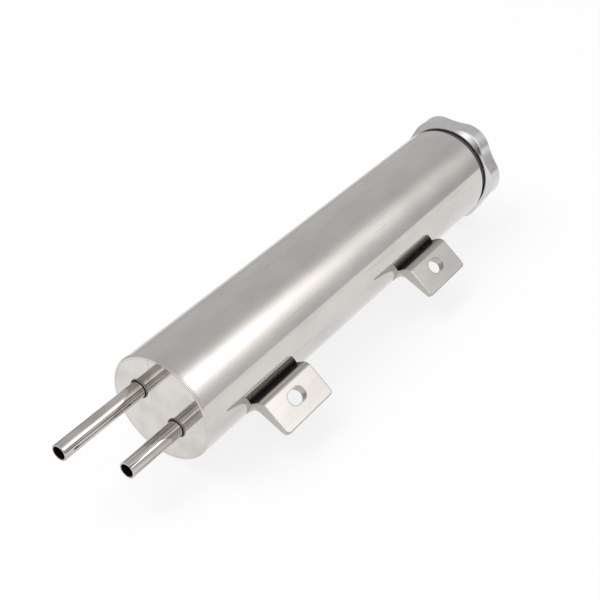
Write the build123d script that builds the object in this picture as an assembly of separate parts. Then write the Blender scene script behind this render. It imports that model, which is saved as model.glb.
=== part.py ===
from build123d import *

import os
from dataclasses import dataclass
from math import cos, radians, sin, sqrt, tan

# Coolant overflow tank, lying on its side as it rests on a table.
# Millimetres. X runs along the tank, from the pipe end to the screw cap, and +Z is up.
# The model is laid out with the tank's axis on X and the bottom plate's outer face at x = 0,
# and is moved at the end so that the origin is the middle of its footprint.

# Tank body: a length of 2 inch polished stainless tube
TUBE_R = 25.4
TUBE_WALL = 1.5
TUBE_END_X = 233.5
RIM_ROUND = 0.8
TUBE_BORE_R = TUBE_R - TUBE_WALL

# Bottom plate, let into the tube and welded round its edge
PLATE_THICKNESS = 2.0
EDGE_WELD_DEPTH = 1.4
EDGE_WELD_ROUND = 0.9

# Neck ring, a turned insert that carries the cap's thread
NECK_BORE_R = 17.6
NECK_LENGTH = 14.0
NECK_CHAMFER = 0.8
NECK_WELD_PREP = 0.45

# Pipes welded through the bottom plate, each at its own place in the plate.
# Each is turned down to a seat where it enters its weld and the plate.
PIPE_R = 3.8
PIPE_SEAT_STEP = 0.2
PIPE_BORE_R = 2.9
PIPE_END_ROUND = 0.25
PIPE_WELD_WIDTH = 0.85
PIPE_WELD_HEIGHT = 0.7
PIPE_WELD_ROUND = 0.45
OVERFLOW_Y = 10.5
OVERFLOW_Z = 5.7
OVERFLOW_OUTSIDE = 46.0
STANDPIPE_TO_NECK = 4.5
RADIATOR_Y = -8.4
RADIATOR_Z = -5.9
RADIATOR_OUTSIDE = 30.0
RADIATOR_INSIDE = 3.0

# Brackets: lugs with a flat top face, one slot and a thick root whose outer wall is rounded over.
# Reaches and heights are measured from the lug's seat, a point of the tube below the lug's root.
BRACKET_TILT = 38.0
BRACKET_LENGTH = 33.4
LOWER_BRACKET_X = 28.3
UPPER_BRACKET_X = 147.1
LUG_SEAT_BEARING = 28.0
LUG_REACH = 20.4
LUG_TOP = 5.5
LUG_TIP_THICKNESS = 1.9
LUG_TAPER = 12.5
LUG_NOSE_REACH = 2.5
LUG_NOSE_R = 3.8
LUG_NOSE_LEAN = 20.0
LUG_CORNER_R = 2.2
LUG_EDGE_ROUND = 0.5
SLOT_LENGTH = 10.5
SLOT_WIDTH = 6.8
SLOT_REACH = 10.6

# Fillet weld that fills the hollow under each bracket, polished round and run out along the tube
LUG_WELD_REACH = 3.5
LUG_WELD_R = 4.0
LUG_WELD_TOE_REACH = 2.7
LUG_WELD_TOE_DROP = 8.4

# Screw cap: a turned knob with its edge scalloped into lobes and its underside sloped away from the rim
CAP_LOBES = 6
CAP_OVERHANG = 3.2
CAP_SCALLOP_DEPTH = 2.4
CAP_LOBE_SWEEP = 37.0
CAP_RIM_INSET = 0.2
CAP_UNDERSIDE_SLOPE = 24.0
CAP_THICKNESS = 10.4
CAP_TOP_CHAMFER = 0.8
CAP_SPIGOT_LENGTH = 11.0
CAP_SPIGOT_CHAMFER = 1.0
THREAD_CLEARANCE = 0.08
LOBE_PITCH = 360 / CAP_LOBES
FIRST_VALLEY = -90.0
CAP_PEAK_R = TUBE_R + CAP_OVERHANG
CAP_VALLEY_R = CAP_PEAK_R - CAP_SCALLOP_DEPTH
CAP_RIM_R = TUBE_R - CAP_RIM_INSET

# Sealing ring of thick round section, squeezed between the neck and a groove in the cap
SEAL_INSET = 1.8
SEAL_R = TUBE_BORE_R - SEAL_INSET
SEAL_WIDTH = 4.2
SEAL_GAP = 3.6
SEAL_GROOVE = 0.6
SEAL_ROUND = 1.5
SEAL_SIDE_CLEARANCE = 0.2

PIPE_SEAT_R = PIPE_R - PIPE_SEAT_STEP
ALONG_TANK = Plane.YZ


@dataclass
class Pipe:
    """A pipe through the bottom plate: its place in the plate and how far it runs each way."""

    y: float
    z: float
    outside: float
    inside: float

    def face_at(self, x: float) -> Plane:
        """Plane square to the pipe, centred on it, x along the tank."""
        return ALONG_TANK.offset(x) * Pos(self.y, self.z)

    def solid(self) -> Part:
        """The pipe itself, open at both ends."""
        length = self.outside + self.inside
        hose_end = extrude(self.face_at(-self.outside) * Circle(PIPE_R), self.outside - PIPE_WELD_HEIGHT)
        seated = extrude(self.face_at(-PIPE_WELD_HEIGHT) * Circle(PIPE_SEAT_R), PIPE_WELD_HEIGHT + self.inside)
        bore = extrude(self.face_at(-self.outside) * Circle(PIPE_BORE_R), length)
        pipe = hose_end + seated - bore
        free_end = pipe.faces().sort_by(Axis.X)[0].edges()
        return fillet(free_end, PIPE_END_ROUND)

    def hole(self, depth: float) -> Part:
        """What the pipe takes out of a plate of the given depth."""
        return extrude(self.face_at(0) * Circle(PIPE_SEAT_R), depth)

    def weld(self) -> Part:
        """The ring of weld round the pipe's root, on the plate's outer face."""
        section = Circle(PIPE_R + PIPE_WELD_WIDTH) - Circle(PIPE_SEAT_R)
        bead = extrude(self.face_at(0) * section, -PIPE_WELD_HEIGHT)
        crown = bead.edges().filter_by(GeomType.CIRCLE).sort_by(Axis.X)[:2]
        outer_crown = crown.sort_by(SortBy.RADIUS)[-1]
        return fillet(outer_crown, PIPE_WELD_ROUND)


NECK_START_X = TUBE_END_X - NECK_LENGTH
OVERFLOW = Pipe(OVERFLOW_Y, OVERFLOW_Z, OVERFLOW_OUTSIDE, NECK_START_X - STANDPIPE_TO_NECK)
RADIATOR = Pipe(RADIATOR_Y, RADIATOR_Z, RADIATOR_OUTSIDE, PLATE_THICKNESS + RADIATOR_INSIDE)


def ring(inner_r: float, outer_r: float, start_x: float, end_x: float) -> Part:
    """A plain ring round the tank's axis."""
    return extrude(ALONG_TANK.offset(start_x) * (Circle(outer_r) - Circle(inner_r)), end_x - start_x)


def turned(points: list[tuple[float, float]]) -> Part:
    """A body of revolution round the tank's axis, from (x, radius) corners."""
    return revolve(make_face(Polyline(*points, close=True)), Axis.X)


def weld_prep() -> Part:
    """The V groove between tube and neck ring, which the rim weld fills."""
    return turned([
        (TUBE_END_X, TUBE_BORE_R - NECK_WELD_PREP),
        (TUBE_END_X, TUBE_BORE_R + NECK_WELD_PREP),
        (TUBE_END_X - NECK_WELD_PREP, TUBE_BORE_R),
    ])


def tank_tube() -> Part:
    """The tube, with its outer rim eased where the cap sits."""
    tube = ring(TUBE_BORE_R, TUBE_R, EDGE_WELD_DEPTH, TUBE_END_X)
    rim = tube.edges().filter_by(GeomType.CIRCLE).group_by(Axis.X)[-1].sort_by(SortBy.RADIUS)[-1]
    return fillet(rim, RIM_ROUND) - weld_prep()


def bottom_plate() -> Part:
    """The round plate inside the tube's end, bored for both pipes."""
    disc = extrude(ALONG_TANK * Circle(TUBE_BORE_R), PLATE_THICKNESS)
    return disc - OVERFLOW.hole(PLATE_THICKNESS) - RADIATOR.hole(PLATE_THICKNESS)


def bottom_seam() -> Part:
    """The edge weld over the tube's end, polished to a round corner."""
    seam = ring(TUBE_BORE_R, TUBE_R, 0.0, EDGE_WELD_DEPTH)
    corner = seam.edges().filter_by(GeomType.CIRCLE).group_by(Axis.X)[0].sort_by(SortBy.RADIUS)[-1]
    return fillet(corner, EDGE_WELD_ROUND)


def neck_ring() -> Part:
    """The insert that the cap screws into, flush with the tube's rim."""
    insert = ring(NECK_BORE_R, TUBE_BORE_R, NECK_START_X, TUBE_END_X)
    mouths = insert.edges().filter_by(GeomType.CIRCLE).sort_by(SortBy.RADIUS)[:2]
    return chamfer(mouths, NECK_CHAMFER) - weld_prep()


class Lug:
    """One bracket, drawn in its end view: u along the lug, v square to its flat top face."""

    def __init__(self, start_x: float):
        tilt = radians(BRACKET_TILT)
        self.reach = Vector(0, -cos(tilt), -sin(tilt))
        self.up = Vector(0, -sin(tilt), cos(tilt))
        self.start_x = start_x
        self.end_view = Plane(
            origin=(start_x + BRACKET_LENGTH, 0, 0), x_dir=self.reach, z_dir=(-1, 0, 0)
        )
        self.seat = Vector(TUBE_R, 0).rotate(Axis.Z, LUG_SEAT_BEARING)

    def at(self, reach: float, height: float) -> Vector:
        """Point of the end view, from its reach and height past the seat."""
        return self.seat + Vector(reach, height)

    def underside(self, reach: float) -> Vector:
        """Point on the line of the lug's tapered underside."""
        drop = (LUG_REACH - reach) * tan(radians(LUG_TAPER))
        return self.at(reach, LUG_TOP - LUG_TIP_THICKNESS - drop)

    def foot(self) -> Vector:
        """Where the lug's outer wall meets the tube."""
        lean = radians(LUG_NOSE_LEAN)
        along = Vector(-sin(lean), -cos(lean))
        nose = self.at(LUG_NOSE_REACH, LUG_TOP)
        half = nose.dot(along)
        return nose + along * (-half - sqrt(half**2 - nose.dot(nose) + TUBE_R**2))

    def section(self) -> Sketch:
        """Section of lug and weld together, trimmed by the tube's curve."""
        nose = self.at(LUG_NOSE_REACH, LUG_TOP)
        under_root = self.underside(LUG_WELD_REACH)
        section = make_face(Polyline(
            nose, self.at(LUG_REACH, LUG_TOP), self.underside(LUG_REACH), under_root,
            self.at(LUG_WELD_TOE_REACH, -LUG_WELD_TOE_DROP), self.foot() * 2 - nose, close=True,
        ))
        section = fillet(section.vertices().sort_by_distance(nose)[0], LUG_NOSE_R)
        section = fillet(section.vertices().sort_by_distance(under_root)[0], LUG_WELD_R)
        return section - Circle(TUBE_R)

    def below_lug(self) -> Sketch:
        """All that lies under the line of the lug's underside, outside and inside the tube."""
        outer = self.underside(LUG_REACH)
        inner = self.underside(-LUG_REACH)
        return make_face(Polyline(
            outer, inner, Vector(inner.X, -TUBE_R), Vector(outer.X, -TUBE_R), close=True,
        ))

    def slot(self) -> Part:
        """The slot's opening, run clear of both faces."""
        middle = self.at(SLOT_REACH, LUG_TOP)
        centre = Vector(self.start_x + BRACKET_LENGTH / 2, 0, 0) + self.reach * middle.X + self.up * middle.Y
        face = Plane(origin=centre, x_dir=(1, 0, 0), z_dir=self.up)
        return extrude(face * SlotOverall(SLOT_LENGTH, SLOT_WIDTH), LUG_REACH, both=True)

    def solid(self) -> Part:
        """The lug with its slot, rounded outer corners and eased edges."""
        lug = extrude(self.end_view * (self.section() - self.below_lug()), BRACKET_LENGTH)
        outward = Axis((0, 0, 0), self.reach)
        upward = Axis((0, 0, 0), self.up)
        corners = lug.edges().filter_by(upward).sort_by(outward)[-2:]
        lug = fillet(corners, LUG_CORNER_R) - self.slot()
        top = lug.faces().filter_by(upward).sort_by(upward)[-1]
        return fillet(top.outer_wire().edges().sort_by(outward)[1:], LUG_EDGE_ROUND)

    def weld(self) -> Part:
        """The hollow fillet of weld under the lug, ground and polished into the tube."""
        return extrude(self.end_view * (self.section() & self.below_lug()), BRACKET_LENGTH)


def cap_outline() -> Sketch:
    """The scalloped edge: equal lobes joined by hollow arcs, tangent to each other.

    Each lobe's arc sweeps a set angle to each side. Both radii follow, because the centres of the two
    arcs lie on one line through the point where they touch.
    """
    half = radians(LOBE_PITCH / 2)
    sweep = radians(CAP_LOBE_SWEEP)
    across = sin(sweep) - sin(half)
    along = cos(sweep) - cos(half)
    rise = CAP_VALLEY_R * sin(half)
    shortfall = CAP_VALLEY_R * cos(half) - CAP_PEAK_R
    scale = sin(sweep) * along - (cos(sweep) - 1) * across
    lobe_r = (rise * along - shortfall * across) / scale
    join = Vector(CAP_PEAK_R - lobe_r + lobe_r * cos(sweep), lobe_r * sin(sweep))
    start = Vector(join.X, -join.Y)
    valley = Vector(CAP_VALLEY_R, 0).rotate(Axis.Z, LOBE_PITCH / 2)
    edges = []
    for count in range(CAP_LOBES):
        turn = FIRST_VALLEY + LOBE_PITCH * (count + 0.5)
        lobe = ThreePointArc(start, Vector(CAP_PEAK_R, 0), join)
        hollow = ThreePointArc(join, valley, start.rotate(Axis.Z, LOBE_PITCH))
        edges += [lobe.rotate(Axis.Z, turn), hollow.rotate(Axis.Z, turn)]
    return make_face(edges)


CAP_START_X = TUBE_END_X + SEAL_GAP
CAP_END_X = CAP_START_X + CAP_THICKNESS


def filler_cap() -> Part:
    """The cap: a turned blank cut to the scalloped outline, with its spigot and the groove for its seal."""
    spigot_r = NECK_BORE_R - THREAD_CLEARANCE
    spigot_end_x = TUBE_END_X - CAP_SPIGOT_LENGTH
    blank_r = CAP_PEAK_R + CAP_SCALLOP_DEPTH
    slope_end_x = CAP_START_X + (blank_r - CAP_RIM_R) * tan(radians(CAP_UNDERSIDE_SLOPE))
    blank = turned([
        (spigot_end_x, 0),
        (spigot_end_x, spigot_r - CAP_SPIGOT_CHAMFER),
        (spigot_end_x + CAP_SPIGOT_CHAMFER, spigot_r),
        (CAP_START_X, spigot_r),
        (CAP_START_X, CAP_RIM_R),
        (slope_end_x, blank_r),
        (CAP_END_X, blank_r),
        (CAP_END_X, 0),
    ])
    cap = blank & extrude(ALONG_TANK.offset(spigot_end_x) * cap_outline(), CAP_END_X - spigot_end_x)
    cap = chamfer(cap.faces().sort_by(Axis.X)[-1].edges(), CAP_TOP_CHAMFER)
    half_groove = SEAL_WIDTH / 2 + SEAL_SIDE_CLEARANCE
    return cap - ring(SEAL_R - half_groove, SEAL_R + half_groove, CAP_START_X, CAP_START_X + SEAL_GROOVE)


def cap_o_ring() -> Part:
    """The sealing ring as it is squeezed: flat on both faces and round at its edges."""
    seal = ring(SEAL_R - SEAL_WIDTH / 2, SEAL_R + SEAL_WIDTH / 2, TUBE_END_X, CAP_START_X + SEAL_GROOVE)
    return fillet(seal.edges().filter_by(GeomType.CIRCLE), SEAL_ROUND)


LOWER = Lug(LOWER_BRACKET_X)
UPPER = Lug(UPPER_BRACKET_X)

NODES = {
    "tank_tube": tank_tube(),
    "bottom_plate": bottom_plate(),
    "bottom_seam": bottom_seam(),
    "neck_ring": neck_ring(),
    "neck_seam": weld_prep(),
    "overflow_pipe": OVERFLOW.solid(),
    "overflow_pipe_weld": OVERFLOW.weld(),
    "radiator_pipe": RADIATOR.solid(),
    "radiator_pipe_weld": RADIATOR.weld(),
    "lower_bracket": LOWER.solid(),
    "lower_bracket_weld": LOWER.weld(),
    "upper_bracket": UPPER.solid(),
    "upper_bracket_weld": UPPER.weld(),
    "filler_cap": filler_cap(),
    "cap_o_ring": cap_o_ring(),
}

# Stand the part on its footprint: the box's middle in X and Y and its lowest point go to the origin
box = Compound(children=[Compound(solid.solids()) for solid in NODES.values()]).bounding_box()
SHIFT = Pos(-box.center().X, -box.center().Y, -box.min.Z)

os.makedirs("parts", exist_ok=True)
for name, solid in NODES.items():
    export_step(SHIFT * solid, f"parts/{name}.step")
print("tank axis lies at", SHIFT.position)
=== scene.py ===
"""Coolant overflow tank: finishes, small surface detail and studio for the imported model."""
import logging
import math
from dataclasses import dataclass, field
from enum import Enum
from typing import Any

import bpy
import numpy as np
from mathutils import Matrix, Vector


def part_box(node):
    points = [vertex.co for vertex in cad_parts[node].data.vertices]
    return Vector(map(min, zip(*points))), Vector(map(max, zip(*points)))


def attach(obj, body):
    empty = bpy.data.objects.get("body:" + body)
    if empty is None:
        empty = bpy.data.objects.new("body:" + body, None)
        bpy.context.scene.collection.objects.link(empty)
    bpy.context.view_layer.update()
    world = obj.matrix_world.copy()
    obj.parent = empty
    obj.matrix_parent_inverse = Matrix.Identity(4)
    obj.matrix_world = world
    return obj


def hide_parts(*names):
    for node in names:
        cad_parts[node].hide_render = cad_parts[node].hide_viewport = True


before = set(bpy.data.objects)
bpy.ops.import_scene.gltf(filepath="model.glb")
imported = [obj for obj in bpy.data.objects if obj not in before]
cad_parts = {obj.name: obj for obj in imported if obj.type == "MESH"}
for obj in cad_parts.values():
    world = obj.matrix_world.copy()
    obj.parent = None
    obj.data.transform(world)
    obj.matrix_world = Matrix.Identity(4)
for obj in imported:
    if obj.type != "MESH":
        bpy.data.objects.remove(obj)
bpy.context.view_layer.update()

MM = 0.001
WHITE = (1.0, 1.0, 1.0, 1.0)
Triple = tuple[float, float, float]

# nearly all of a noise pattern lies between these values
NOISE_LOW = 0.3
NOISE_HIGH = 0.7

# a thread's flanks lie between this cosine of its turn and the same below zero
FLANK_COSINE = 0.8

# a face whose normal lies along X by at least this much is an end, not the side of a thread
END_NORMAL = 0.5

log = logging.getLogger("tank")


class Lay(Enum):
    """Which way a finish's grinding lines run."""

    ALONG_TUBE = "along X"
    UP_PLATE = "along Z"


def linear(hex_colour: str) -> tuple[float, float, float, float]:
    """Turn an sRGB hex colour into linear RGBA.

    Args:
        hex_colour: Six hex digits after a hash mark.

    Returns:
        Linear red, green and blue with an alpha of one.
    """
    # the sRGB curve: a straight foot, then a power
    values = np.array([int(hex_colour[start:start + 2], 16) for start in (1, 3, 5)]) / 255
    foot = values / 12.92
    power = ((values + 0.055) / 1.055) ** 2.4
    red, green, blue = np.where(values <= 0.04045, foot, power)
    return float(red), float(green), float(blue), 1.0


def add(tree: bpy.types.NodeTree, kind: str, links: dict[Any, Any] | None = None,
        **settings: Any) -> bpy.types.Node:
    """Add one node with its settings, its socket values and its incoming links.

    Args:
        tree: The tree that gets the node.
        kind: The node's type name without the ShaderNode part.
        links: Input name or number to the output socket that feeds it, or to a plain value.
        settings: Properties of the node itself.

    Returns:
        The new node.
    """
    node = tree.nodes.new("ShaderNode" + kind)
    for name, value in settings.items():
        setattr(node, name, value)
    for name, source in (links or {}).items():
        if isinstance(source, bpy.types.NodeSocket):
            tree.links.new(source, node.inputs[name])
        else:
            node.inputs[name].default_value = source
    return node


def new_material(name: str) -> tuple[bpy.types.Material, bpy.types.NodeTree, bpy.types.Node]:
    """Start a material whose tree holds only its output.

    Args:
        name: The material's name.

    Returns:
        The material, its tree and its output node.
    """
    material = bpy.data.materials.new(name)
    material.use_nodes = True
    tree = material.node_tree
    tree.nodes.clear()
    return material, tree, add(tree, "OutputMaterial")


def grain(tree: bpy.types.NodeTree, centre: Triple, size_mm: Triple, detail: float = 2.0,
          roughness: float = 0.55) -> bpy.types.NodeSocket:
    """Noise whose grains have a real size along each axis.

    Args:
        tree: The tree that gets the nodes.
        centre: The point that the pattern is centred on, in metres.
        size_mm: Size of a grain along X, Y and Z, in millimetres.
        detail: How many finer layers the noise has.
        roughness: Strength of each finer layer, as a part of the one before.

    Returns:
        The noise, about 0 to 1.
    """
    place = add(tree, "TexCoord").outputs["Object"]
    centred = add(tree, "Mapping", {"Vector": place, "Location": tuple(-value for value in centre)})
    scaled = add(tree, "Mapping", {"Vector": centred.outputs[0],
                                   "Scale": tuple(1 / (value * MM) for value in size_mm)})
    noise = add(tree, "TexNoise", {"Vector": scaled.outputs[0], "Scale": 1.0, "Detail": detail,
                                   "Roughness": roughness})
    return noise.outputs[0]


@dataclass(frozen=True)
class Axis:
    """A line along X, through the middle of a round piece."""

    y: float
    z: float

    def cylinder(self, tree: bpy.types.NodeTree) -> tuple[bpy.types.NodeSocket, ...]:
        """Add the nodes that give a point's place along the line, its distance from it and its bearing.

        Args:
            tree: The tree that gets the nodes.

        Returns:
            Sockets for the place along X and the distance in metres, and the bearing in radians.
        """
        place = add(tree, "TexCoord").outputs["Object"]
        centred = add(tree, "Mapping", {"Vector": place, "Location": (0.0, -self.y, -self.z)})
        parts = add(tree, "SeparateXYZ", {0: centred.outputs[0]})
        across = add(tree, "CombineXYZ", {"Y": parts.outputs["Y"], "Z": parts.outputs["Z"]})
        radius = add(tree, "VectorMath", {0: across.outputs[0]}, operation="LENGTH")
        bearing = add(tree, "Math", {0: parts.outputs["Z"], 1: parts.outputs["Y"]}, operation="ARCTAN2")
        return parts.outputs["X"], radius.outputs["Value"], bearing.outputs[0]


def node_axis(node: str) -> Axis:
    """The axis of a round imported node, from its box."""
    low, high = np.array(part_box(node))
    return Axis(float(low[1] + high[1]) / 2, float(low[2] + high[2]) / 2)


def node_radius(node: str) -> float:
    """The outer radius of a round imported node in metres, from its box."""
    low, high = np.array(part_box(node))
    return float(high[1] - low[1]) / 2


def node_centre(node: str) -> Triple:
    """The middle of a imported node's box."""
    low, high = np.array(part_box(node))
    return tuple(float(value) for value in (low + high) / 2)


def thread_height(tree: bpy.types.NodeTree, axis: Axis, pitch_mm: float,
                  within_mm: float) -> bpy.types.NodeSocket:
    """Height of a right-hand screw thread on the surfaces close to an axis.

    The height is a smooth step of the cosine of the bearing less one turn for each pitch along the axis.
    It stops at the given distance from the axis and on faces that look along it.

    Args:
        tree: The tree that gets the nodes.
        axis: The thread's axis.
        pitch_mm: Rise of the thread in one turn, in millimetres.
        within_mm: Distance from the axis inside which there is a thread, in millimetres.

    Returns:
        The height, 0 to 1.
    """
    along, radius, bearing = axis.cylinder(tree)
    wound = add(tree, "Math", {0: along, 1: -2 * math.pi / (pitch_mm * MM), 2: bearing},
                operation="MULTIPLY_ADD")
    wave = add(tree, "Math", {0: wound.outputs[0]}, operation="COSINE")
    crest = add(tree, "MapRange", {"Value": wave.outputs[0], "From Min": -FLANK_COSINE,
                                   "From Max": FLANK_COSINE}, interpolation_type="SMOOTHSTEP")
    here = add(tree, "Math", {0: radius, 1: within_mm * MM}, operation="LESS_THAN")
    normal = add(tree, "SeparateXYZ", {0: add(tree, "TexCoord").outputs["Normal"]})
    facing = add(tree, "Math", {0: normal.outputs["X"]}, operation="ABSOLUTE")
    side = add(tree, "Math", {0: facing.outputs[0], 1: END_NORMAL}, operation="LESS_THAN")
    both = add(tree, "Math", {0: here.outputs[0], 1: side.outputs[0]}, operation="MULTIPLY")
    height = add(tree, "Math", {0: crest.outputs["Result"], 1: both.outputs[0]}, operation="MULTIPLY")
    return height.outputs[0]


def facing_marks(tree: bpy.types.NodeTree, axis: Axis, spacing_mm: float) -> bpy.types.NodeSocket:
    """Height of the fine rings that a facing cut leaves round an axis.

    Args:
        tree: The tree that gets the nodes.
        axis: The lathe's axis.
        spacing_mm: Distance between rings, in millimetres.

    Returns:
        The height, 0 to 1.
    """
    radius = axis.cylinder(tree)[1]
    rings = add(tree, "Math", {0: radius, 1: 1 / (spacing_mm * MM)}, operation="MULTIPLY")
    noise = add(tree, "TexNoise", {"W": rings.outputs[0], "Scale": 1.0}, noise_dimensions="1D")
    return noise.outputs[0]


@dataclass(frozen=True)
class PolishedStainless:
    """Welded 304 stainless tube, belt ground along its length and buffed.

    It gives a faintly warm grey mirror whose reflections are slightly streaked along the grinding
    lines, with long hairline scratches that catch the light.
    """

    name: str
    centre: Triple
    tint: str = "#D3CFCB"
    worn_tint: str = "#CBC7C3"
    line_tint: str = "#C2BEBA"
    roughness: float = 0.06
    rough_spread: float = 0.06
    lay: Lay = Lay.ALONG_TUBE

    # real belt lines lie some hundredths of a millimetre apart, too fine to show, so these are coarser
    line_mm: float = 0.9
    line_length_mm: float = 70.0
    line_depth_mm: float = 0.004
    wave_mm: float = 7.0
    wave_depth_mm: float = 0.012
    wear_mm: Triple = (30.0, 12.0, 12.0)
    edge_mm: float = 0.25
    edge_samples: int = 4

    # noise values between which the wear, the darker lines and the rougher lines come in
    worn_from: float = 0.35
    worn_to: float = 0.7
    line_start: float = 0.63
    line_fade: float = 0.12
    rough_to: float = 0.75

    def line_grain(self, across_mm: float) -> Triple:
        """Size of a grain with its long way along the grinding lines.

        Args:
            across_mm: Its size across the lines, in millimetres.

        Returns:
            Its size along X, Y and Z, in millimetres.
        """
        if self.lay is Lay.UP_PLATE:
            return across_mm, across_mm, self.line_length_mm
        return self.line_length_mm, across_mm, across_mm

    def shader(self, tree: bpy.types.NodeTree) -> bpy.types.Node:
        """Add the buffed metal's nodes.

        Args:
            tree: The tree that gets the nodes.

        Returns:
            The surface shader.
        """
        lines = grain(tree, self.centre, self.line_grain(self.line_mm))
        waves = grain(tree, self.centre, self.line_grain(self.wave_mm), detail=1.0)
        cloud = grain(tree, self.centre, self.wear_mm, detail=3.0)
        worn = add(tree, "MapRange", {"Value": cloud, "From Min": self.worn_from, "From Max": self.worn_to},
                   interpolation_type="SMOOTHSTEP")
        drawn = add(tree, "MapRange", {"Value": lines, "From Min": self.line_start,
                                       "From Max": self.line_start + self.line_fade},
                    interpolation_type="SMOOTHSTEP")
        colour = add(tree, "Mix", {"Factor": worn.outputs["Result"], "A": linear(self.tint),
                                   "B": linear(self.worn_tint)}, data_type="RGBA")
        colour = add(tree, "Mix", {"Factor": drawn.outputs["Result"], "A": colour.outputs["Result"],
                                   "B": linear(self.line_tint)}, data_type="RGBA")
        rough = add(tree, "MapRange", {"Value": lines, "From Min": NOISE_LOW, "From Max": self.rough_to,
                                       "To Min": self.roughness,
                                       "To Max": self.roughness + self.rough_spread})
        eased = add(tree, "Bevel", {"Radius": self.edge_mm * MM}, samples=self.edge_samples)
        fine = add(tree, "Bump", {"Height": lines, "Distance": self.line_depth_mm * MM,
                                  "Normal": eased.outputs[0]})
        broad = add(tree, "Bump", {"Height": waves, "Distance": self.wave_depth_mm * MM,
                                   "Normal": fine.outputs["Normal"]})
        return add(tree, "BsdfPrincipled", {"Base Color": colour.outputs["Result"], "Metallic": 1.0,
                                            "Roughness": rough.outputs["Result"],
                                            "Normal": broad.outputs["Normal"]})

    def material(self) -> bpy.types.Material:
        """Build the material.

        Returns:
            The material, whose surface is what the shader method gives.
        """
        material, tree, output = new_material(self.name)
        tree.links.new(self.shader(tree).outputs[0], output.inputs["Surface"])
        return material


@dataclass(frozen=True)
class BuffedPlate(PolishedStainless):
    """Stainless disc cut from polished sheet.

    It mirrors the pipes almost flawlessly, with faint upright lines and cloudy marks.
    """

    tint: str = "#DAD7D3"
    worn_tint: str = "#CDC9C5"
    lay: Lay = Lay.UP_PLATE
    line_mm: float = 1.2
    line_depth_mm: float = 0.002
    wave_depth_mm: float = 0.003


@dataclass(frozen=True)
class BuffedLug(PolishedStainless):
    """Stainless lug, buffed on its faces, linished on its ends, with painted shade in its corner.

    The faces mirror the studio softly, the ends stay an even light grey, and the corner against the
    tube is painted near black as shade.
    """

    tint: str = "#BAB6B1"
    worn_tint: str = "#B4B0AB"
    line_tint: str = "#ADA9A4"
    roughness: float = 0.1
    line_depth_mm: float = 0.002
    wave_depth_mm: float = 0.003
    edge_mm: float = 0.8

    # painted shade in the corner, by its distance from the tube and by how far the metal looks up
    tube: Axis = field(kw_only=True)
    tube_radius: float = field(kw_only=True)
    painted_shade: str = "#090706"
    painted_shade_from_mm: float = 0.5
    painted_shade_to_mm: float = 5.5
    upward_from: float = 0.25
    upward_to: float = 0.55
    shade_grain_mm: Triple = (2.0, 0.4, 0.4)
    shade_grain_roughness: float = 0.45
    shade_grain_spread: float = 0.25

    # linished ends, found by how far the metal looks along X; the belt's lines are coarser than real ones
    end_tint: str = "#C4C1BC"
    end_roughness: float = 0.3
    end_spread: float = 0.08
    end_from: float = 0.8
    end_to: float = 0.95
    belt_mm: Triple = (4.0, 0.4, 6.0)
    belt_depth_mm: float = 0.01
    belt_strength: float = 0.7

    def shader(self, tree: bpy.types.NodeTree) -> bpy.types.Node:
        """Add the buffed metal, its linished ends and the painted shade in its corner.

        Args:
            tree: The tree that gets the nodes.

        Returns:
            The surface shader.
        """
        buffed = super().shader(tree)
        belt = grain(tree, self.centre, self.belt_mm)
        marks = add(tree, "Bump", {"Height": belt, "Distance": self.belt_depth_mm * MM,
                                   "Strength": self.belt_strength})
        rubbed = add(tree, "MapRange", {"Value": belt, "From Min": NOISE_LOW, "From Max": NOISE_HIGH,
                                        "To Min": self.end_roughness,
                                        "To Max": self.end_roughness + self.end_spread})
        ends = add(tree, "BsdfPrincipled", {"Base Color": linear(self.end_tint), "Metallic": 1.0,
                                            "Roughness": rubbed.outputs["Result"],
                                            "Normal": marks.outputs["Normal"]})
        normal = add(tree, "SeparateXYZ", {0: add(tree, "TexCoord").outputs["Normal"]})
        facing = add(tree, "Math", {0: normal.outputs["X"]}, operation="ABSOLUTE")
        at_end = add(tree, "MapRange", {"Value": facing.outputs[0], "From Min": self.end_from,
                                        "From Max": self.end_to}, interpolation_type="SMOOTHSTEP")
        metal = add(tree, "MixShader", {0: at_end.outputs["Result"], 1: buffed.outputs[0],
                                        2: ends.outputs[0]})
        # painted shade: a near-black, rough shader laid over the metal close to the tube, on faces that look
        # up
        radius = self.tube.cylinder(tree)[1]
        close = add(tree, "MapRange", {"Value": radius,
                                       "From Min": self.tube_radius + self.painted_shade_from_mm * MM,
                                       "From Max": self.tube_radius + self.painted_shade_to_mm * MM,
                                       "To Min": 1.0, "To Max": 0.0}, interpolation_type="SMOOTHSTEP")
        upward = add(tree, "MapRange", {"Value": normal.outputs["Z"], "From Min": self.upward_from,
                                        "From Max": self.upward_to}, interpolation_type="SMOOTHSTEP")
        corner_shade_mask = add(tree, "Math", {0: close.outputs["Result"], 1: upward.outputs["Result"]},
                    operation="MULTIPLY")
        shade_grain = grain(tree, self.centre, self.shade_grain_mm)
        matt = add(tree, "MapRange", {"Value": shade_grain, "From Min": NOISE_LOW, "From Max": NOISE_HIGH,
                                      "To Min": self.shade_grain_roughness,
                                      "To Max": self.shade_grain_roughness + self.shade_grain_spread})
        corner_shade_shader = add(tree, "BsdfPrincipled", {"Base Color": linear(self.painted_shade),
                                                "Roughness": matt.outputs["Result"]})
        return add(tree, "MixShader", {0: corner_shade_mask.outputs[0], 1: metal.outputs[0], 2: corner_shade_shader.outputs[0]})


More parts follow.
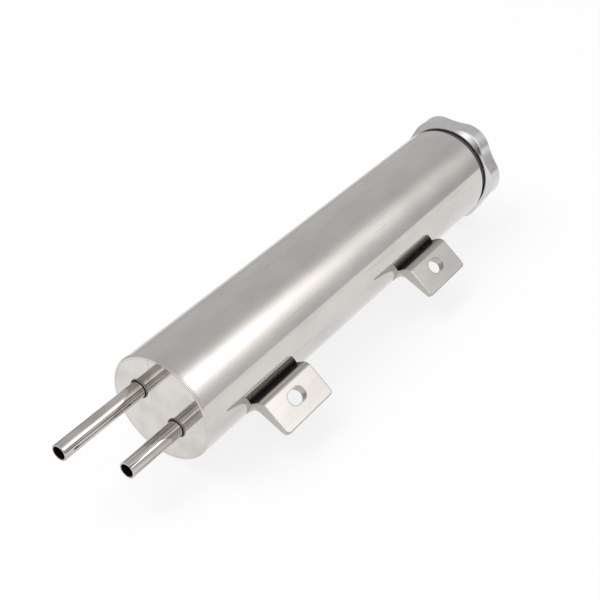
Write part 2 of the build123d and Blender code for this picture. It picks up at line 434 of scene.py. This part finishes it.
@dataclass(frozen=True)
class DrawnPipe(PolishedStainless):
    """Bright drawn stainless pipe with dark die lines outside and a dark brown bore.

    The lines run the whole length and make the small mirror look stripy, and the bore reads as a
    dark hole behind a thin bright rim.
    """

    tint: str = "#D2CDC9"
    worn_tint: str = "#B9B1AB"
    line_tint: str = "#3D332D"
    roughness: float = 0.05

    # die lines, coarser and deeper than real ones so that they show
    line_start: float = 0.55
    line_mm: float = 0.75
    line_length_mm: float = 80.0
    line_depth_mm: float = 0.02
    wave_mm: float = 2.0
    wave_depth_mm: float = 0.08

    # dark brown, duller metal in the bore, inside the given distance from the axis
    axis: Axis = field(kw_only=True)
    bore_mm: float = 3.05
    bore_fade_mm: float = 0.1
    bore_tone: str = "#2B211C"
    bore_tone_metal: float = 0.6
    bore_tone_roughness: float = 0.35
    bore_tone_spread: float = 0.25
    scale_mm: Triple = (4.0, 0.6, 0.6)
    scale_depth_mm: float = 0.02
    scale_strength: float = 0.6

    def shader(self, tree: bpy.types.NodeTree) -> bpy.types.Node:
        """Add the drawn metal and the dark brown bore inside it.

        Args:
            tree: The tree that gets the nodes.

        Returns:
            The surface shader.
        """
        drawn = super().shader(tree)
        scale = grain(tree, self.centre, self.scale_mm)
        matt = add(tree, "MapRange", {"Value": scale, "From Min": NOISE_LOW, "From Max": NOISE_HIGH,
                                      "To Min": self.bore_tone_roughness,
                                      "To Max": self.bore_tone_roughness + self.bore_tone_spread})
        pits = add(tree, "Bump", {"Height": scale, "Distance": self.scale_depth_mm * MM,
                                  "Strength": self.scale_strength})
        bore = add(tree, "BsdfPrincipled", {"Base Color": linear(self.bore_tone), "Metallic": self.bore_tone_metal,
                                            "Roughness": matt.outputs["Result"],
                                            "Normal": pits.outputs["Normal"]})
        radius = self.axis.cylinder(tree)[1]
        inside = add(tree, "MapRange", {"Value": radius, "From Min": self.bore_mm * MM,
                                        "From Max": (self.bore_mm + self.bore_fade_mm) * MM,
                                        "To Min": 1.0, "To Max": 0.0})
        return add(tree, "MixShader", {0: inside.outputs["Result"], 1: drawn.outputs[0], 2: bore.outputs[0]})


@dataclass(frozen=True)
class ThreadedStainless(PolishedStainless):
    """Turned 304 stainless with a single-point thread in its bore.

    The face shows the rings of its facing cut and the bore the dark and light bands of the thread.
    """

    roughness: float = 0.16
    line_mm: float = 0.6
    line_length_mm: float = 20.0

    # rings of the facing cut and thread, both round the axis
    axis: Axis = field(kw_only=True)
    thread_within_mm: float = 18.2
    pitch_mm: float = 2.0
    thread_depth_mm: float = 0.5
    ring_mm: float = 0.16
    ring_depth_mm: float = 0.006

    def shader(self, tree: bpy.types.NodeTree) -> bpy.types.Node:
        """Add the turned metal, then its rings and its thread over the fine grain.

        Args:
            tree: The tree that gets the nodes.

        Returns:
            The surface shader.
        """
        turned = super().shader(tree)
        grained = turned.inputs["Normal"].links[0].from_socket
        rings = add(tree, "Bump", {"Height": facing_marks(tree, self.axis, self.ring_mm),
                                   "Distance": self.ring_depth_mm * MM, "Normal": grained})
        wound = thread_height(tree, self.axis, self.pitch_mm, self.thread_within_mm)
        thread = add(tree, "Bump", {"Height": wound, "Distance": self.thread_depth_mm * MM,
                                    "Normal": rings.outputs["Normal"]})
        tree.links.new(thread.outputs["Normal"], turned.inputs["Normal"])
        return turned


@dataclass(frozen=True)
class HeatTintedWeld:
    """Weld bead with straw and blue tints from the heat, buffed bright at its outer edge.

    It reads as a thin, dark, uneven line round the pipe.
    """

    name: str
    centre: Triple
    axis: Axis
    metal: str = "#3B342E"
    straw: str = "#241C16"
    blue: str = "#17181C"
    bright: str = "#8A8580"
    roughness: float = 0.3
    rough_spread: float = 0.15
    bright_roughness: float = 0.12

    # distances from the axis between which the bead turns bright, and how far that edge wavers
    bright_from_mm: float = 4.25
    bright_to_mm: float = 4.5
    waver_mm: float = 0.6

    # tints in blotches, with the noise values at which each comes in
    blotch_mm: Triple = (1.2, 1.6, 1.6)
    straw_from: float = 0.35
    blue_from: float = 0.55
    blue_to: float = 0.75
    speck_mm: Triple = (0.3, 0.3, 0.3)
    speck_depth_mm: float = 0.02
    speck_strength: float = 0.6

    def material(self) -> bpy.types.Material:
        """Build the material, its tints in blotches over the bead.

        Returns:
            The material.
        """
        material, tree, output = new_material(self.name)
        blotch = grain(tree, self.centre, self.blotch_mm)
        speck = grain(tree, self.centre, self.speck_mm)
        to_straw = add(tree, "MapRange", {"Value": blotch, "From Min": self.straw_from,
                                          "From Max": self.blue_from}, interpolation_type="SMOOTHSTEP")
        to_blue = add(tree, "MapRange", {"Value": blotch, "From Min": self.blue_from,
                                         "From Max": self.blue_to}, interpolation_type="SMOOTHSTEP")
        warm = add(tree, "Mix", {"Factor": to_straw.outputs["Result"], "A": linear(self.metal),
                                 "B": linear(self.straw)}, data_type="RGBA")
        cool = add(tree, "Mix", {"Factor": to_blue.outputs["Result"], "A": warm.outputs["Result"],
                                 "B": linear(self.blue)}, data_type="RGBA")
        radius = self.axis.cylinder(tree)[1]
        edge = add(tree, "Math", {0: blotch, 1: self.waver_mm * MM, 2: radius}, operation="MULTIPLY_ADD")
        shift_mm = self.waver_mm / 2
        buffed = add(tree, "MapRange", {"Value": edge.outputs[0],
                                        "From Min": (self.bright_from_mm + shift_mm) * MM,
                                        "From Max": (self.bright_to_mm + shift_mm) * MM},
                     interpolation_type="SMOOTHSTEP")
        colour = add(tree, "Mix", {"Factor": buffed.outputs["Result"], "A": cool.outputs["Result"],
                                   "B": linear(self.bright)}, data_type="RGBA")
        rough = add(tree, "MapRange", {"Value": speck, "From Min": NOISE_LOW, "From Max": NOISE_HIGH,
                                       "To Min": self.roughness,
                                       "To Max": self.roughness + self.rough_spread})
        smooth = add(tree, "Mix", {"Factor": buffed.outputs["Result"], "A": rough.outputs["Result"],
                                   "B": self.bright_roughness}, data_type="FLOAT")
        bump = add(tree, "Bump", {"Height": speck, "Distance": self.speck_depth_mm * MM,
                                  "Strength": self.speck_strength})
        shader = add(tree, "BsdfPrincipled", {"Base Color": colour.outputs["Result"], "Metallic": 1.0,
                                              "Roughness": smooth.outputs["Result"],
                                              "Normal": bump.outputs["Normal"]})
        tree.links.new(shader.outputs[0], output.inputs["Surface"])
        return material


@dataclass(frozen=True)
class GroundWeld(HeatTintedWeld):
    """Rim weld ground flush, its heat tints worn pale.

    It closes the gap between tube and neck with a faintly mottled grey band. Its bright edge starts
    outside the tube, so it has none.
    """

    metal: str = "#A9A59D"
    straw: str = "#8D867B"
    blue: str = "#77787E"
    bright_from_mm: float = 30.0
    bright_to_mm: float = 31.0


@dataclass(frozen=True)
class TurnedAluminium:
    """Turned and milled 6061 aluminium, polished on the grip and brighter still on the cut slope.

    The scalloped side mirrors the studio softly, the slope sharply, and the spigot carries the bands
    of its thread.
    """

    name: str
    centre: Triple
    axis: Axis
    grip: str = "#DAD9D8"
    hazy: str = "#CFCCCC"
    slope: str = "#D6D6D6"
    grip_roughness: float = 0.13
    grip_spread: float = 0.08
    slope_roughness: float = 0.07
    edge_mm: float = 0.9
    edge_samples: int = 6

    # the slope is where the normal's X lies below the first value
    slope_normal: float = -0.8
    grip_normal: float = -0.6

    # haze and cutter marks, each coarser than real ones so that it shows
    haze_mm: Triple = (6.0, 5.0, 5.0)
    haze_from: float = 0.35
    haze_to: float = 0.7
    pit_mm: Triple = (0.5, 0.5, 0.5)
    pit_depth_mm: float = 0.0015
    pit_strength: float = 0.6
    mill_mm: Triple = (20.0, 1.2, 1.2)
    mill_to: float = 0.75
    mill_depth_mm: float = 0.012
    mill_strength: float = 0.7

    # lathe marks and thread
    ring_mm: float = 0.2
    ring_depth_mm: float = 0.006
    thread_within_mm: float = 17.8
    pitch_mm: float = 2.0
    thread_depth_mm: float = 0.5

    def relief(self, tree: bpy.types.NodeTree, mill: bpy.types.NodeSocket) -> bpy.types.NodeSocket:
        """Add the pits, cutter marks, lathe rings and thread over eased edges.

        Args:
            tree: The tree that gets the nodes.
            mill: The cutter marks' height.

        Returns:
            The normal that they give.
        """
        eased = add(tree, "Bevel", {"Radius": self.edge_mm * MM}, samples=self.edge_samples)
        pits = add(tree, "Bump", {"Height": grain(tree, self.centre, self.pit_mm),
                                  "Distance": self.pit_depth_mm * MM, "Strength": self.pit_strength,
                                  "Normal": eased.outputs[0]})
        milled = add(tree, "Bump", {"Height": mill, "Distance": self.mill_depth_mm * MM,
                                    "Strength": self.mill_strength, "Normal": pits.outputs["Normal"]})
        rings = add(tree, "Bump", {"Height": facing_marks(tree, self.axis, self.ring_mm),
                                   "Distance": self.ring_depth_mm * MM, "Normal": milled.outputs["Normal"]})
        wound = thread_height(tree, self.axis, self.pitch_mm, self.thread_within_mm)
        thread = add(tree, "Bump", {"Height": wound, "Distance": self.thread_depth_mm * MM,
                                    "Normal": rings.outputs["Normal"]})
        return thread.outputs["Normal"]

    def material(self) -> bpy.types.Material:
        """Build the material, chosen by how much the surface faces back along the tank.

        Returns:
            The material.
        """
        material, tree, output = new_material(self.name)
        normal = add(tree, "SeparateXYZ", {0: add(tree, "TexCoord").outputs["Normal"]})
        cut = add(tree, "MapRange", {"Value": normal.outputs["X"], "From Min": self.slope_normal,
                                     "From Max": self.grip_normal, "To Min": 1.0, "To Max": 0.0},
                  interpolation_type="SMOOTHSTEP")
        mill = grain(tree, self.centre, self.mill_mm)
        cloud = grain(tree, self.centre, self.haze_mm, detail=3.0)
        hazed = add(tree, "MapRange", {"Value": cloud, "From Min": self.haze_from, "From Max": self.haze_to},
                    interpolation_type="SMOOTHSTEP")
        side = add(tree, "Mix", {"Factor": hazed.outputs["Result"], "A": linear(self.grip),
                                 "B": linear(self.hazy)}, data_type="RGBA")
        colour = add(tree, "Mix", {"Factor": cut.outputs["Result"], "A": side.outputs["Result"],
                                   "B": linear(self.slope)}, data_type="RGBA")
        side_rough = add(tree, "MapRange", {"Value": mill, "From Min": NOISE_LOW, "From Max": self.mill_to,
                                            "To Min": self.grip_roughness,
                                            "To Max": self.grip_roughness + self.grip_spread})
        rough = add(tree, "Mix", {"Factor": cut.outputs["Result"], "A": side_rough.outputs["Result"],
                                  "B": self.slope_roughness}, data_type="FLOAT")
        shader = add(tree, "BsdfPrincipled", {"Base Color": colour.outputs["Result"], "Metallic": 1.0,
                                              "Roughness": rough.outputs["Result"],
                                              "Normal": self.relief(tree, mill)})
        tree.links.new(shader.outputs[0], output.inputs["Surface"])
        return material


@dataclass(frozen=True)
class MouldedRubber:
    """Moulded nitrile rubber, dark grey with the soft sheen of its mould.

    It draws the dark line between tube and cap, with a faint grey streak where the light lies on it.
    """

    name: str
    centre: Triple
    colour: str = "#4A4546"
    bloom: str = "#585253"
    ior: float = 1.52
    roughness: float = 0.2
    rough_spread: float = 0.15

    # bloom in patches, and pores drawn coarser than a mould's real grain
    bloom_mm: Triple = (4.0, 4.0, 4.0)
    bloom_from: float = 0.4
    pore_mm: Triple = (0.2, 0.2, 0.2)
    pore_depth_mm: float = 0.01
    pore_strength: float = 0.5

    def material(self) -> bpy.types.Material:
        """Build the material, with its bloom in patches.

        Returns:
            The material.
        """
        material, tree, output = new_material(self.name)
        cloud = grain(tree, self.centre, self.bloom_mm)
        bloomed = add(tree, "MapRange", {"Value": cloud, "From Min": self.bloom_from,
                                         "From Max": NOISE_HIGH}, interpolation_type="SMOOTHSTEP")
        colour = add(tree, "Mix", {"Factor": bloomed.outputs["Result"], "A": linear(self.colour),
                                   "B": linear(self.bloom)}, data_type="RGBA")
        rough = add(tree, "MapRange", {"Value": cloud, "From Min": NOISE_LOW, "From Max": NOISE_HIGH,
                                       "To Min": self.roughness,
                                       "To Max": self.roughness + self.rough_spread})
        bump = add(tree, "Bump", {"Height": grain(tree, self.centre, self.pore_mm),
                                  "Distance": self.pore_depth_mm * MM, "Strength": self.pore_strength})
        shader = add(tree, "BsdfPrincipled", {"Base Color": colour.outputs["Result"], "IOR": self.ior,
                                              "Roughness": rough.outputs["Result"],
                                              "Normal": bump.outputs["Normal"]})
        tree.links.new(shader.outputs[0], output.inputs["Surface"])
        return material


def dress(node: str, material: bpy.types.Material) -> None:
    """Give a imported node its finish.

    Args:
        node: The node's name.
        material: What all of its slots get.
    """
    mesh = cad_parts[node].data
    if not mesh.materials:
        mesh.materials.append(material)
    for number in range(len(mesh.materials)):
        mesh.materials[number] = material
    log.info("dressed %s in %s", node, material.name)


def link(name: str, data: bpy.types.ID) -> bpy.types.Object:
    """Put a mesh, lamp or camera in the scene.

    Args:
        name: The object's name.
        data: What it shows or holds.

    Returns:
        The new object, at the origin.
    """
    made = bpy.data.objects.new(name, data)
    bpy.context.scene.collection.objects.link(made)
    return made


def closed_surface(name: str, points: np.ndarray, material: bpy.types.Material) -> bpy.types.Object:
    """Make a smooth object from a grid of points that closes on itself both ways.

    Args:
        name: The object's name.
        points: Rows by columns by XYZ, in metres; the last row joins the first, and so do the columns.
        material: Its finish.

    Returns:
        The new object.
    """
    rows, columns = points.shape[:2]
    row, column = np.meshgrid(np.arange(rows), np.arange(columns), indexing="ij")
    next_row = (row + 1) % rows
    next_column = (column + 1) % columns
    quads = np.stack([row * columns + column, row * columns + next_column,
                      next_row * columns + next_column, next_row * columns + column], axis=-1).reshape(-1, 4)
    mesh = bpy.data.meshes.new(name)
    mesh.from_pydata(points.reshape(-1, 3), [], quads)
    mesh.shade_smooth()
    mesh.materials.append(material)
    log.info("built %s with %d faces", name, len(quads))
    return link(name, mesh)


@dataclass
class TankBody:
    """The tube with its bottom plate, neck ring and the welds that join them."""

    tube_nodes: tuple[str, ...] = ("tank_tube", "bottom_seam")

    def dress(self) -> None:
        """Give the tube, the plate, the neck and the seams their finishes."""
        middle = node_centre("tank_tube")
        buffed = PolishedStainless("buffed_stainless_tube", middle).material()
        for node in self.tube_nodes:
            dress(node, buffed)
        plate = BuffedPlate("buffed_stainless_plate", middle)
        dress("bottom_plate", plate.material())
        neck = ThreadedStainless("turned_stainless_neck", middle, axis=node_axis("neck_ring"))
        dress("neck_ring", neck.material())
        seam = GroundWeld("ground_rim_weld", middle, node_axis("neck_seam"))
        dress("neck_seam", seam.material())


@dataclass
class HosePipe:
    """One pipe and the rippled ring of weld at its root."""

    pipe: str
    weld: str
    ripples: int
    body: str = "tank"
    weld_slot: str = "weld_metal"

    # bead: depth of a ripple, how far its middle runs ahead in radians, and how far it sinks into the pipe
    ripple_mm: float = 0.09
    ripple_lead: float = 0.9
    seat_mm: float = 0.2
    around: int = 312
    across: int = 24

    def dress(self) -> None:
        """Finish the pipe and lay its weld."""
        middle = node_centre(self.pipe)
        axis = node_axis(self.pipe)
        dress(self.pipe, DrawnPipe(f"{self.pipe}_bright_drawn", middle, axis=axis).material())
        self.lay_weld(HeatTintedWeld(f"{self.weld}_metal", middle, axis=axis).material())

    def lay_weld(self, material: bpy.types.Material) -> None:
        """Lay the bead as a ring of overlapping crescents.

        The section is a quarter ellipse from the plate to the pipe, closed along the plate and the
        pipe. Its crown sinks by a rectified sine of the angle round the pipe, whose phase runs ahead in
        the middle of the bead, so that each ripple is a crescent.

        Args:
            material: The bead's finish.
        """
        low, high = np.array(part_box(self.weld))
        axis = node_axis(self.weld)
        inner = node_radius(self.pipe)
        outer = node_radius(self.weld)
        height = high[0] - low[0]
        turn = np.linspace(0, 2 * np.pi, self.around, endpoint=False)[:, None]
        crown = np.linspace(0, np.pi / 2, self.across)[None, :]
        phase = self.ripples * turn / 2 + self.ripple_lead * np.sin(2 * crown)
        sink = self.ripple_mm * MM * (1 - np.abs(np.sin(phase))) * np.sin(2 * crown)
        radius = inner + (outer - inner - sink) * np.cos(crown)
        along = high[0] - (height - sink) * np.sin(crown)
        seat = np.full_like(turn, inner - self.seat_mm * MM)
        radius = np.concatenate([radius, seat, seat], axis=1)
        along = np.concatenate([along, np.full_like(turn, low[0]), np.full_like(turn, high[0])], axis=1)
        points = np.stack([along, axis.y + radius * np.cos(turn), axis.z + radius * np.sin(turn)], axis=-1)
        bead = closed_surface(f"{self.weld}_bead", points, material)
        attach(bead, self.body)
        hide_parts(self.weld)


@dataclass
class MountingLug:
    """One slotted lug and its polished weld."""

    lug: str
    weld: str
    weld_roughness: float = 0.12

    def dress(self) -> None:
        """Finish the lug and its weld."""
        middle = node_centre(self.lug)
        lug = BuffedLug(f"{self.lug}_buffed_stainless", middle, tube=node_axis("tank_tube"),
                        tube_radius=node_radius("tank_tube"))
        dress(self.lug, lug.material())
        weld = PolishedStainless(f"{self.weld}_blended", middle, roughness=self.weld_roughness)
        dress(self.weld, weld.material())


@dataclass
class ScrewCap:
    """The lobed cap and its sealing ring."""

    cap: str = "filler_cap"
    seal: str = "cap_o_ring"

    def dress(self) -> None:
        """Finish the cap and its seal."""
        middle = node_centre(self.cap)
        dress(self.cap, TurnedAluminium("turned_cap_aluminium", middle, node_axis(self.seal)).material())
        dress(self.seal, MouldedRubber("moulded_seal_rubber", middle).material())


def direction(bearing: float, height: float) -> np.ndarray:
    """Unit vector at a bearing from +X and a height above the horizon, both in degrees."""
    turn, lift = math.radians(bearing), math.radians(height)
    return np.array([math.cos(lift) * math.cos(turn), math.cos(lift) * math.sin(turn), math.sin(lift)])


def turned_to(way: np.ndarray) -> Triple:
    """Euler angles that point a camera or lamp along a direction, with no roll."""
    pitch = math.acos(-way[2] / float(np.linalg.norm(way)))
    return pitch, 0.0, math.atan2(-way[0], way[1])


@dataclass(frozen=True)
class Panel:
    """One soft panel of the room as metal mirrors it: brighter than the wall, or darker where negative."""

    bearing: float
    height: float
    spread: float
    glow: float


@dataclass
class Studio:
    """White table, soft light and the camera."""

    # camera, from the middle of the bottom plate's outer face
    camera_from_plate: Triple = (-0.2450, -0.2421, 0.3055)
    view: Triple = (0.6586, 0.4629, -0.5933)
    lens_mm: float = 66.83
    sensor_mm: float = 36.0
    clip_near: float = 0.01
    clip_far: float = 100.0

    # table: its paint, the light it seems to give to camera and metal, and how the metal sees its far side
    table_half: float = 30.0
    table_colour: str = "#818181"
    table_lift: float = 0.795
    far_table: float = 0.57
    far_from: float = 0.05
    far_to: float = 0.23

    # room, as the camera sees it, as the metal mirrors it, and the light it gives to all else
    backdrop: float = 1.0
    wall: float = 0.63
    darkest: float = 0.02
    panels: tuple[Panel, ...] = (
        Panel(bearing=-47, height=44, spread=16, glow=1.75),
        Panel(bearing=-52, height=18, spread=12, glow=0.11),
        Panel(bearing=-48, height=27, spread=9, glow=0.12),
        Panel(bearing=-12, height=38, spread=12, glow=-0.10),
        Panel(bearing=-30, height=5, spread=10, glow=-0.20),
        Panel(bearing=-150, height=34, spread=18, glow=1.6),
        Panel(bearing=174, height=12, spread=7, glow=1.0),
        Panel(bearing=-167, height=5, spread=8, glow=-0.6),
    )
    fill: float = 0.65

    # key lamp
    key_bearing: float = 120.0
    key_height: float = 55.0
    key_distance: float = 1.4
    key_size: float = 0.9
    key_watts: float = 8.0

    def table_material(self) -> bpy.types.Material:
        """Paint that camera, metal and glass see as white, with the shadows that fall on it.

        The far side is a dimmer grey to metal alone, as the room behind a real table would be.

        Returns:
            The material.
        """
        material, tree, output = new_material("white_studio_table")
        rays = add(tree, "LightPath")
        seen = add(tree, "Math", {0: rays.outputs["Is Camera Ray"], 1: rays.outputs["Is Glossy Ray"]},
                   operation="MAXIMUM")
        seen = add(tree, "Math", {0: seen.outputs[0], 1: rays.outputs["Is Transmission Ray"]},
                   operation="MAXIMUM")
        lift = add(tree, "Math", {0: seen.outputs[0], 1: self.table_lift}, operation="MULTIPLY")
        paint = add(tree, "BsdfDiffuse", {"Color": linear(self.table_colour)})
        glow = add(tree, "Emission", {"Color": WHITE, "Strength": lift.outputs[0]})
        lit = add(tree, "AddShader", {0: paint.outputs[0], 1: glow.outputs[0]})
        place = add(tree, "SeparateXYZ", {0: add(tree, "TexCoord").outputs["Object"]})
        far = add(tree, "MapRange", {"Value": place.outputs["Y"], "From Min": self.far_from,
                                     "From Max": self.far_to}, interpolation_type="SMOOTHSTEP")
        mirrored_far = add(tree, "Math", {0: far.outputs["Result"], 1: rays.outputs["Is Glossy Ray"]},
                           operation="MULTIPLY")
        dim = add(tree, "Emission", {"Color": WHITE, "Strength": self.far_table})
        whole = add(tree, "MixShader", {0: mirrored_far.outputs[0], 1: lit.outputs[0], 2: dim.outputs[0]})
        tree.links.new(whole.outputs[0], output.inputs["Surface"])
        return material

    def lay_table(self) -> None:
        """Lay the pale table under the part."""
        half = self.table_half
        mesh = bpy.data.meshes.new("studio_table")
        corners = [(-half, -half, 0), (half, -half, 0), (half, half, 0), (-half, half, 0)]
        mesh.from_pydata(corners, [], [(0, 1, 2, 3)])
        mesh.materials.append(self.table_material())
        link("studio_table", mesh)

    def light_room(self) -> None:
        """Surround the part with a plain room: white to the camera, soft grey with panels in the metal.

        Each panel adds its glow times a bell curve of the angle from its middle: e to the power of the
        cosine of that angle less one, times two over the square of its spread.
        """
        world = bpy.data.worlds.new("studio_room")
        bpy.context.scene.world = world
        world.use_nodes = True
        tree = world.node_tree
        tree.nodes.clear()
        way = add(tree, "VectorMath", {0: add(tree, "TexCoord").outputs["Generated"]}, operation="NORMALIZE")
        mirrored = self.wall
        for panel in self.panels:
            middle = tuple(direction(panel.bearing, panel.height))
            near = add(tree, "VectorMath", {0: way.outputs[0], 1: middle}, operation="DOT_PRODUCT")
            sharpness = 2 / math.radians(panel.spread) ** 2
            falling = add(tree, "Math", {0: near.outputs["Value"], 1: sharpness, 2: -sharpness},
                          operation="MULTIPLY_ADD")
            bell = add(tree, "Math", {0: falling.outputs[0]}, operation="EXPONENT")
            mirrored = add(tree, "Math", {0: bell.outputs[0], 1: panel.glow, 2: mirrored},
                           operation="MULTIPLY_ADD").outputs[0]
        shown = add(tree, "Math", {0: mirrored, 1: self.darkest}, operation="MAXIMUM")
        rays = add(tree, "LightPath")
        unseen = add(tree, "Mix", {"Factor": rays.outputs["Is Glossy Ray"], "A": self.fill,
                                   "B": shown.outputs[0]}, data_type="FLOAT")
        strength = add(tree, "Mix", {"Factor": rays.outputs["Is Camera Ray"], "A": unseen.outputs["Result"],
                                     "B": self.backdrop}, data_type="FLOAT")
        light = add(tree, "Background", {"Color": WHITE, "Strength": strength.outputs["Result"]})
        output = add(tree, "OutputWorld")
        tree.links.new(light.outputs[0], output.inputs["Surface"])

    def hang_key(self) -> None:
        """Hang the large soft lamp that throws the part's shadow."""
        lamp = bpy.data.lights.new("key_softbox", "AREA")
        lamp.shape = "SQUARE"
        lamp.size = self.key_size
        lamp.energy = self.key_watts
        holder = link("key_softbox", lamp)
        out = direction(self.key_bearing, self.key_height)
        holder.location = tuple(out * self.key_distance)
        holder.rotation_euler = turned_to(-out)
        holder.visible_glossy = False

    def place_camera(self) -> None:
        """Stand the camera where the photograph was taken from."""
        low, high = np.array(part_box("bottom_plate"))
        plate = np.array([low[0], (low[1] + high[1]) / 2, (low[2] + high[2]) / 2])
        camera = bpy.data.cameras.new("photo_camera")
        camera.lens = self.lens_mm
        camera.sensor_width = self.sensor_mm
        camera.clip_start = self.clip_near
        camera.clip_end = self.clip_far
        holder = link("photo_camera", camera)
        holder.location = tuple(plate + np.array(self.camera_from_plate))
        holder.rotation_euler = turned_to(np.array(self.view))
        bpy.context.scene.camera = holder

    def build(self) -> None:
        """Set up table, room, lamp, camera and plain colour handling."""
        self.lay_table()
        self.light_room()
        self.hang_key()
        self.place_camera()
        bpy.context.scene.view_settings.view_transform = "Standard"


@dataclass
class OverflowTank:
    """The whole part, sub-assembly by sub-assembly."""

    body: TankBody = field(default_factory=TankBody)
    cap: ScrewCap = field(default_factory=ScrewCap)
    pipes: tuple[HosePipe, ...] = (
        HosePipe("overflow_pipe", "overflow_pipe_weld", ripples=30),
        HosePipe("radiator_pipe", "radiator_pipe_weld", ripples=28),
    )
    lugs: tuple[MountingLug, ...] = (
        MountingLug("lower_bracket", "lower_bracket_weld"),
        MountingLug("upper_bracket", "upper_bracket_weld"),
    )

    def dress(self) -> None:
        """Finish every piece, from the tank outwards."""
        for piece in (self.body, *self.pipes, *self.lugs, self.cap):
            piece.dress()


def main() -> None:
    """Build the tank's finishes and the studio, in order."""
    logging.basicConfig(level=logging.INFO, format="%(message)s")
    OverflowTank().dress()
    Studio().build()


if __name__ == "__main__":
    main()
